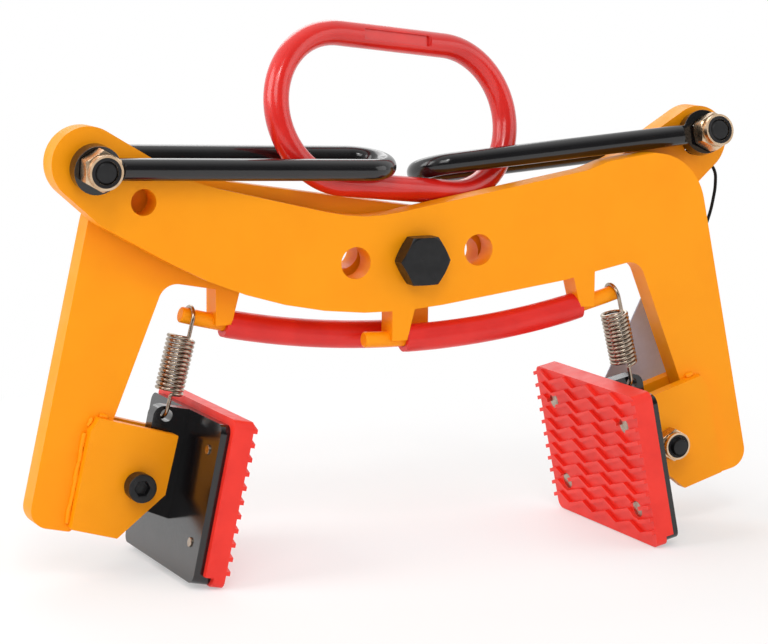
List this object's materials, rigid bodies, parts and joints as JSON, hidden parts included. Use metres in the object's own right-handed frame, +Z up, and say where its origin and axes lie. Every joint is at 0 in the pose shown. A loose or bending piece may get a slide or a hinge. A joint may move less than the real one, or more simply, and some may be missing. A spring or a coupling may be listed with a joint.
{
  "type": "stone lifting clamp",
  "caption": "Scissor lifting clamp: crossed plate arms, pulled together by bows on a master link, press padded tilting jaws on a slab or kerb stone.",
  "frame": {"origin": "on the floor under the main pivot, midway between the two arm plates", "axes": "+X along the clamp towards the front arm's leg, +Y away from the front face, +Z up"},
  "size_m": [0.4988, 0.15, 0.3385],
  "materials": {
    "orange_paint": "satin orange-yellow powder coat",
    "red_paint": "glossy red paint",
    "black_paint": "glossy black paint",
    "black_steel": "black oxide",
    "zinc_steel": "yellow zinc plate",
    "red_rubber": "soft moulded rubber",
    "red_hose": "smooth hose",
    "grey_card": "matt",
    "black_cord": "thin round cord"
  },
  "bodies": {
    "pivot": {"pivot_bolt": "black_steel", "pivot_washer": "zinc_steel", "pivot_nut": "zinc_steel", "arm_spacer": "zinc_steel"},
    "front_arm": {"front_arm": "orange_paint", "right_handle_bar": "orange_paint", "right_handle_sleeve": "red_hose", "right_front_cheek": "orange_paint", "right_rear_cheek": "orange_paint", "right_cheek_welds": "orange_paint", "right_jaw_bolt": "black_steel", "right_jaw_nut": "zinc_steel", "right_jaw_washers": "zinc_steel", "right_spring": "zinc_steel"},
    "back_arm": {"back_arm": "orange_paint", "left_handle_bar": "orange_paint", "left_handle_sleeve": "red_hose", "left_front_cheek": "orange_paint", "left_rear_cheek": "orange_paint", "left_cheek_welds": "orange_paint", "left_jaw_bolt": "black_steel", "left_jaw_nut": "zinc_steel", "left_jaw_washers": "zinc_steel", "left_spring": "zinc_steel", "hang_tag": "grey_card", "tag_eyelet": "zinc_steel", "tag_cord": "black_cord"},
    "left_bow": {"left_bow": "black_paint", "left_bow_bolt": "black_steel", "left_bow_nut": "zinc_steel"},
    "right_bow": {"right_bow": "black_paint", "right_bow_bolt": "black_steel", "right_bow_nut": "zinc_steel"},
    "master_link": {"master_link": "red_paint"},
    "left_jaw": {"left_jaw_rib": "black_paint", "left_jaw_plate": "black_paint", "left_pad": "red_rubber", "left_pad_screws": "zinc_steel"},
    "right_jaw": {"right_jaw_rib": "black_paint", "right_jaw_plate": "black_paint", "right_pad": "red_rubber", "right_pad_screws": "zinc_steel"}
  },
  "joints": [
    {"name": "front_arm_swing", "type": "hinge", "parent": "pivot", "child": "front_arm", "pos_m": [0, 0, 0.18943], "axis": [0, 1, 0], "range_deg": [0, 20]},
    {"name": "back_arm_swing", "type": "hinge", "parent": "pivot", "child": "back_arm", "pos_m": [0, 0, 0.18943], "axis": [0, 1, 0], "range_deg": [-20, 0]},
    {"name": "left_bow_swing", "type": "hinge", "parent": "front_arm", "child": "left_bow", "pos_m": [-0.2165, -0.01, 0.25743], "axis": [0, 1, 0], "range_deg": [-62.94, 0]},
    {"name": "right_bow_swing", "type": "hinge", "parent": "back_arm", "child": "right_bow", "pos_m": [0.2165, 0.01, 0.25743], "axis": [0, 1, 0], "range_deg": [0, 66.34]},
    {"name": "master_link_turn", "type": "hinge", "parent": "left_bow", "child": "master_link", "pos_m": [-0.0297, -0.00292, 0.24437], "axis": [0.102, 0.9927, 0.0647], "range_deg": [0, 38.43]},
    {"name": "right_jaw_tilt", "type": "hinge", "parent": "front_arm", "child": "right_jaw", "pos_m": [0.184, -0.01, 0.05743], "axis": [0, 1, 0], "range_deg": [-20, 0], "stiffness_Nm_per_rad": 1.2, "springref_deg": 28.65, "deforming": ["right_spring"]},
    {"name": "left_jaw_tilt", "type": "hinge", "parent": "back_arm", "child": "left_jaw", "pos_m": [-0.184, 0.01, 0.05743], "axis": [0, 1, 0], "range_deg": [0, 20], "stiffness_Nm_per_rad": 1.2, "springref_deg": -28.65, "deforming": ["left_spring"]}
  ],
  "couplings": [
    {"joint": "back_arm_swing", "follows": "front_arm_swing", "ratio": -1},
    {"joint": "left_bow_swing", "follows": "front_arm_swing", "ratio": -3.147},
    {"joint": "right_bow_swing", "follows": "front_arm_swing", "ratio": 3.317},
    {"joint": "master_link_turn", "follows": "front_arm_swing", "ratio": 1.9213}
  ]
}
